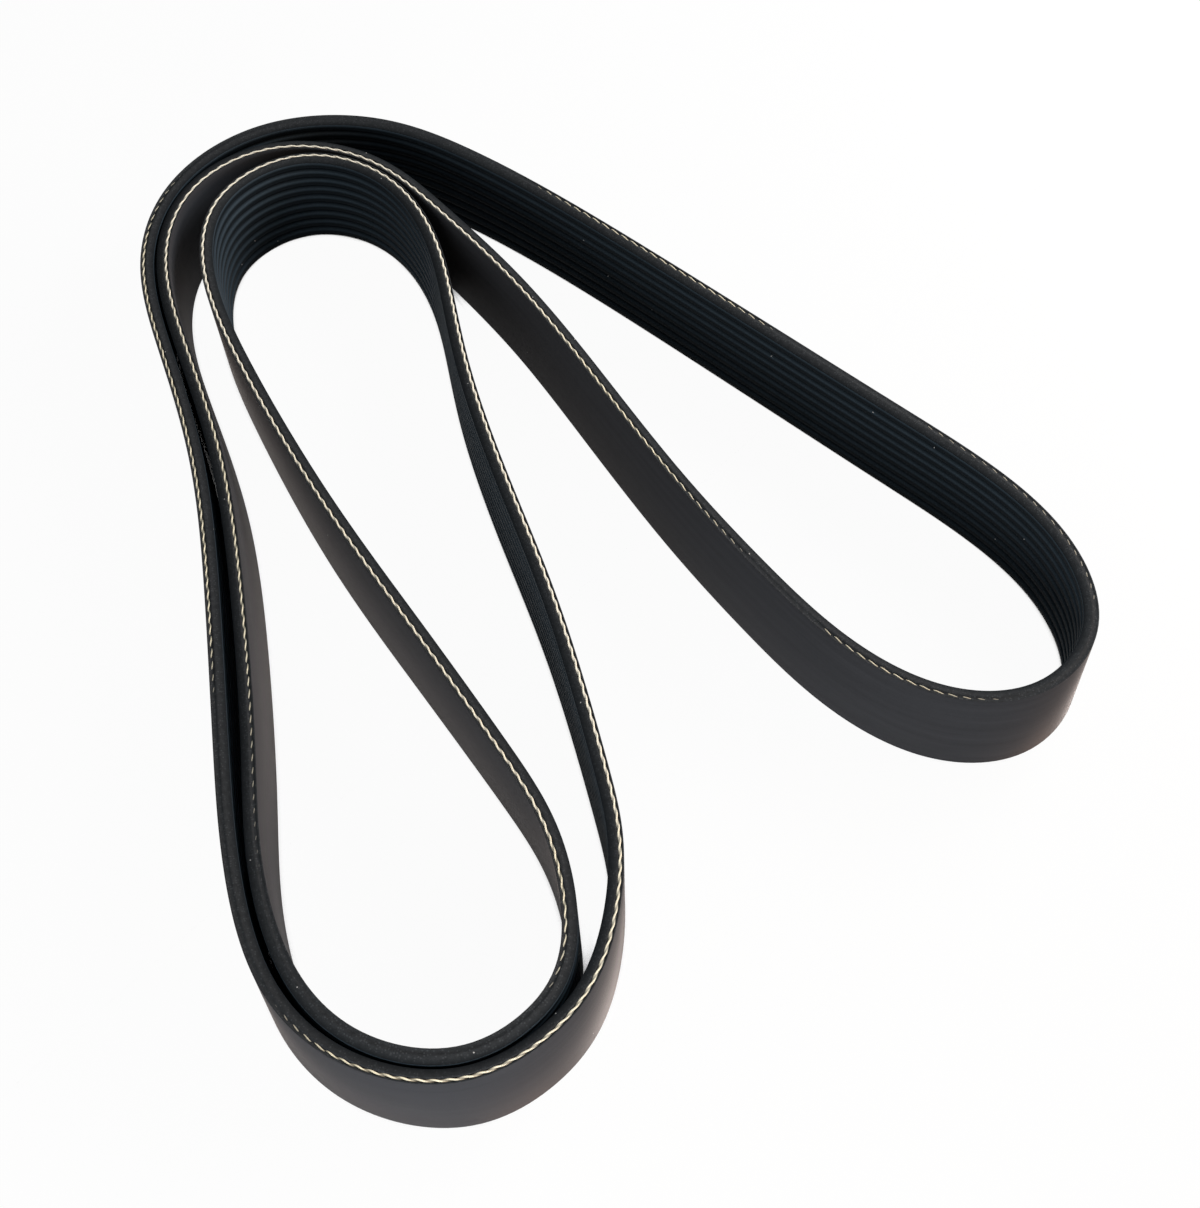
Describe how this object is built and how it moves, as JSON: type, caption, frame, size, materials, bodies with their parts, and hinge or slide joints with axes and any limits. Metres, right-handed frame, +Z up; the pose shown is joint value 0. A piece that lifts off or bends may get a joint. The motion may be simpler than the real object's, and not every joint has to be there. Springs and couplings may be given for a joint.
{
  "type": "serpentine belt",
  "caption": "Endless multi-ribbed rubber drive belt standing on its cut edge, folded loosely back beside itself, with pale reinforcing cord bare along the edge.",
  "frame": {"origin": "middle of the belt's footprint, on the surface that it stands on", "axes": "+Z up, across the belt's width; +X to the right and +Y away from the viewer in the reference view"},
  "size_m": [0.2674, 0.3156, 0.032],
  "materials": {
    "rubber": "matte, smooth satin back and fine ground ribs",
    "cord": "twisted polyester yarn, matte"
  },
  "bodies": {
    "root": {"ribbed_belt": "rubber", "tensile_cord": "cord"}
  },
  "joints": []
}
